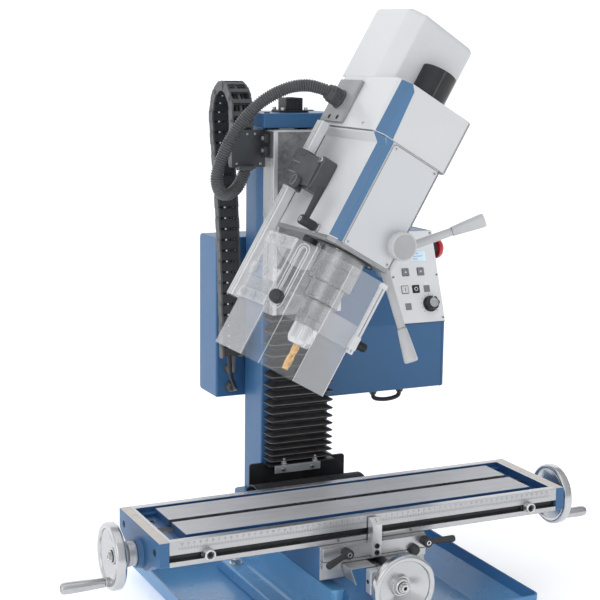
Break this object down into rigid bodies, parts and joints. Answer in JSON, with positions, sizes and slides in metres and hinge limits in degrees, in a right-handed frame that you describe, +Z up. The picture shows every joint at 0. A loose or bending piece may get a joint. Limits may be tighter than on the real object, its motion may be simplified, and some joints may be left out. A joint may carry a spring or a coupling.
{
  "type": "bench vertical milling machine",
  "caption": "Bench vertical mill: tilting head with quill on a dovetail column, sliding table with handwheels, clear telescopic tool guard, slanted control panel and chip tray.",
  "frame": {"origin": "centre of the four hold-down bolts on the underside of the chip tray", "axes": "+X to the operator's right along the table, +Y from the operator to the column and cabinet, +Z up"},
  "size_m": [0.9788, 0.6664, 1.012],
  "materials": {
    "blue_paint": "semi-gloss blue machine enamel with a fine orange-peel texture",
    "white_paint": "semi-gloss off-white machine enamel",
    "panel_grey": "satin pale grey front plate with a thin dark border, bare of marks",
    "panel_white": "satin white operator panel",
    "machined_iron": "ground and scraped cast iron",
    "steel": "turned steel",
    "chrome_steel": "polished bright steel",
    "aluminium": "brushed extrusion",
    "bronze": "machined bronze",
    "gold_coating": "gold coloured hard coating on ground carbide",
    "black_steel": "black oxide and black paint",
    "black_plastic": "moulded black plastic",
    "black_rubber": "black way-cover rubber",
    "grey_hose": "grey corrugated conduit",
    "grey_plastic": "grey push button",
    "pale_plastic": "pale push button",
    "red_plastic": "red push button",
    "clear_shield": "clear polycarbonate sheet"
  },
  "bodies": {
    "frame": {"chip_tray": "blue_paint", "base_casting": "blue_paint", "screw_bearings": "machined_iron", "column": "blue_paint", "column_cap": "blue_paint", "cabinet_shell": "blue_paint", "cabinet_back": "blue_paint", "control_panel": "panel_white", "bellows_bracket": "black_steel", "bellows": "black_rubber", "apron": "black_rubber", "drag_chain": "black_plastic", "glands_and_leads": "black_plastic"},
    "start_button": {"start_button": "pale_plastic"},
    "stop_button": {"stop_button": "black_plastic"},
    "jog_up_button": {"jog_up_button": "grey_plastic"},
    "jog_down_button": {"jog_down_button": "grey_plastic"},
    "speed_knob": {"speed_knob": "black_plastic"},
    "estop_button": {"estop_button": "red_plastic"},
    "saddle": {"saddle": "machined_iron", "feed_nuts": "bronze"},
    "table_lock_left": {"table_lock_left": "black_plastic"},
    "table_lock_right": {"table_lock_right": "black_plastic"},
    "table": {"table": "machined_iron", "end_brackets": "blue_paint"},
    "table_stop_left": {"table_stop_left": "steel"},
    "table_stop_right": {"table_stop_right": "steel"},
    "x_feed": {"x_screw": "steel", "x_handwheels": "chrome_steel"},
    "x_grip_left": {"x_grip_left": "chrome_steel"},
    "x_grip_right": {"x_grip_right": "chrome_steel"},
    "y_feed": {"y_screw": "steel", "y_handwheel": "chrome_steel"},
    "y_grip": {"y_grip": "chrome_steel"},
    "z_feed": {"z_screw": "steel"},
    "carriage": {"carriage": "machined_iron", "chain_bracket": "black_steel"},
    "head": {"head_casting": "white_paint", "front_panel": "panel_grey", "upper_cover": "white_paint", "motor_cover": "white_paint", "drawbar_cap": "black_plastic", "motor": "black_steel", "drive_belt": "black_rubber", "hose_connector": "black_plastic", "hose": "grey_hose", "guard_holder": "black_plastic"},
    "motor_rotor": {"motor_pulley": "aluminium"},
    "drive_pulley": {"spindle_pulley": "aluminium"},
    "quill": {"quill": "steel", "quill_bearings": "steel"},
    "spindle": {"spindle": "steel", "end_mill": "gold_coating"},
    "star_handle": {"star_handle": "chrome_steel"},
    "fine_feed": {"fine_feed_knob": "steel"},
    "quill_lock": {"quill_lock": "black_plastic"},
    "guard": {"guard_arm": "aluminium", "shield_upper": "clear_shield"},
    "shield": {"shield_lower": "clear_shield"},
    "guard_knob": {"guard_knob": "black_plastic"}
  },
  "joints": [
    {"name": "y_wheel_turn", "type": "hinge", "parent": "frame", "child": "y_feed", "pos_m": [0, -0.25, 0.12], "axis": [0, 1, 0], "range_deg": [-4680, 5040]},
    {"name": "saddle_slide", "type": "slide", "parent": "frame", "child": "saddle", "axis": [0, 1, 0], "range_m": [-0.065, 0.07], "deforming": ["apron"]},
    {"name": "y_grip_spin", "type": "hinge", "parent": "y_feed", "child": "y_grip", "pos_m": [0.00781, -0.33, 0.07568], "axis": [0, 1, 0], "continuous": true},
    {"name": "table_slide", "type": "slide", "parent": "saddle", "child": "table", "axis": [1, 0, 0], "range_m": [-0.2, 0.2]},
    {"name": "x_wheel_turn", "type": "hinge", "parent": "table", "child": "x_feed", "pos_m": [0, -0.084, 0.161], "axis": [1, 0, 0], "range_deg": [-14400, 14400]},
    {"name": "x_grip_left_spin", "type": "hinge", "parent": "x_feed", "child": "x_grip_left", "pos_m": [-0.46, -0.07619, 0.11668], "axis": [1, 0, 0], "continuous": true},
    {"name": "x_grip_right_spin", "type": "hinge", "parent": "x_feed", "child": "x_grip_right", "pos_m": [0.46, -0.07619, 0.11668], "axis": [1, 0, 0], "continuous": true},
    {"name": "lock_left_turn", "type": "hinge", "parent": "saddle", "child": "table_lock_left", "pos_m": [-0.056, -0.2, 0.156], "axis": [0, 1, 0], "range_deg": [-25, 40]},
    {"name": "lock_right_turn", "type": "hinge", "parent": "saddle", "child": "table_lock_right", "pos_m": [0.087, -0.2, 0.156], "axis": [0, 1, 0], "range_deg": [-40, 25]},
    {"name": "stop_left_slide", "type": "slide", "parent": "table", "child": "table_stop_left", "axis": [1, 0, 0], "range_m": [-0.04, 0.06]},
    {"name": "stop_right_slide", "type": "slide", "parent": "table", "child": "table_stop_right", "axis": [1, 0, 0], "range_m": [-0.06, 0.04]},
    {"name": "z_screw_turn", "type": "hinge", "parent": "frame", "child": "z_feed", "pos_m": [0, 0.14, 0.5], "axis": [0, 0, 1], "range_deg": [0, 12240]},
    {"name": "head_lift", "type": "slide", "parent": "frame", "child": "carriage", "axis": [0, 0, -1], "range_m": [0, 0.17], "deforming": ["bellows", "drag_chain"]},
    {"name": "head_tilt", "type": "hinge", "parent": "carriage", "child": "head", "pos_m": [0, 0.07, 0.629], "axis": [0, 1, 0], "range_deg": [-75, 30], "deforming": ["hose"]},
    {"name": "quill_feed", "type": "slide", "parent": "head", "child": "quill", "axis": [-0.5, 0, -0.866], "range_m": [0, 0.065], "stiffness_N_per_m": 600, "springref_m": -0.3},
    {"name": "star_turn", "type": "hinge", "parent": "head", "child": "star_handle", "pos_m": [0.08284, -0.038, 0.59849], "axis": [0.866, 0, -0.5], "range_deg": [-1, 311]},
    {"name": "spindle_spin", "type": "hinge", "parent": "quill", "child": "spindle", "pos_m": [0, -0.084, 0.629], "axis": [0.5, 0, 0.866], "continuous": true},
    {"name": "drive_pulley_spin", "type": "hinge", "parent": "head", "child": "drive_pulley", "pos_m": [0.1, -0.084, 0.8022], "axis": [0.5, 0, 0.866], "continuous": true},
    {"name": "motor_spin", "type": "hinge", "parent": "head", "child": "motor_rotor", "pos_m": [0.09134, 0.008, 0.8072], "axis": [0.5, 0, 0.866], "continuous": true},
    {"name": "fine_feed_turn", "type": "hinge", "parent": "head", "child": "fine_feed", "pos_m": [0.0562, -0.154, 0.63235], "axis": [0, 1, 0], "continuous": true},
    {"name": "guard_swing", "type": "hinge", "parent": "head", "child": "guard", "pos_m": [-0.08487, 0.011, 0.678], "axis": [-0.5, 0, -0.866], "range_deg": [0, 100]},
    {"name": "shield_lift", "type": "slide", "parent": "guard", "child": "shield", "axis": [0.5, 0, 0.866], "range_m": [0, 0.06]},
    {"name": "quill_lock_turn", "type": "hinge", "parent": "head", "child": "quill_lock", "pos_m": [-0.07128, -0.08, 0.66554], "axis": [0.866, 0, -0.5], "range_deg": [-50, 50]},
    {"name": "guard_knob_turn", "type": "hinge", "parent": "shield", "child": "guard_knob", "pos_m": [-0.15436, -0.1415, 0.56339], "axis": [0.75, 0.5, -0.433], "range_deg": [-90, 90]},
    {"name": "start_press", "type": "slide", "parent": "frame", "child": "start_button", "axis": [0, 0.9385, -0.3453], "range_m": [0, 0.0015], "stiffness_N_per_m": 400, "springref_m": -0.003},
    {"name": "stop_press", "type": "slide", "parent": "frame", "child": "stop_button", "axis": [0, 0.9385, -0.3453], "range_m": [0, 0.0015], "stiffness_N_per_m": 400, "springref_m": -0.003},
    {"name": "jog_up_press", "type": "slide", "parent": "frame", "child": "jog_up_button", "axis": [0, 0.9385, -0.3453], "range_m": [0, 0.0015], "stiffness_N_per_m": 400, "springref_m": -0.003},
    {"name": "jog_down_press", "type": "slide", "parent": "frame", "child": "jog_down_button", "axis": [0, 0.9385, -0.3453], "range_m": [0, 0.0015], "stiffness_N_per_m": 400, "springref_m": -0.003},
    {"name": "speed_turn", "type": "hinge", "parent": "frame", "child": "speed_knob", "pos_m": [0.285, 0.1417, 0.47676], "axis": [0, -0.9385, 0.3453], "range_deg": [-135, 135]},
    {"name": "estop_press", "type": "slide", "parent": "frame", "child": "estop_button", "axis": [-1, 0, 0], "range_m": [0, 0.005], "stiffness_N_per_m": 600, "springref_m": -0.006}
  ],
  "couplings": [
    {"joint": "y_wheel_turn", "follows": "saddle_slide", "rad_per_m": 1256.6},
    {"joint": "x_wheel_turn", "follows": "table_slide", "rad_per_m": 1256.6},
    {"joint": "z_screw_turn", "follows": "head_lift", "rad_per_m": 1256.6},
    {"joint": "star_turn", "follows": "quill_feed", "rad_per_m": 83.333},
    {"joint": "drive_pulley_spin", "follows": "spindle_spin", "ratio": 1},
    {"joint": "motor_spin", "follows": "spindle_spin", "ratio": 1.5}
  ]
}
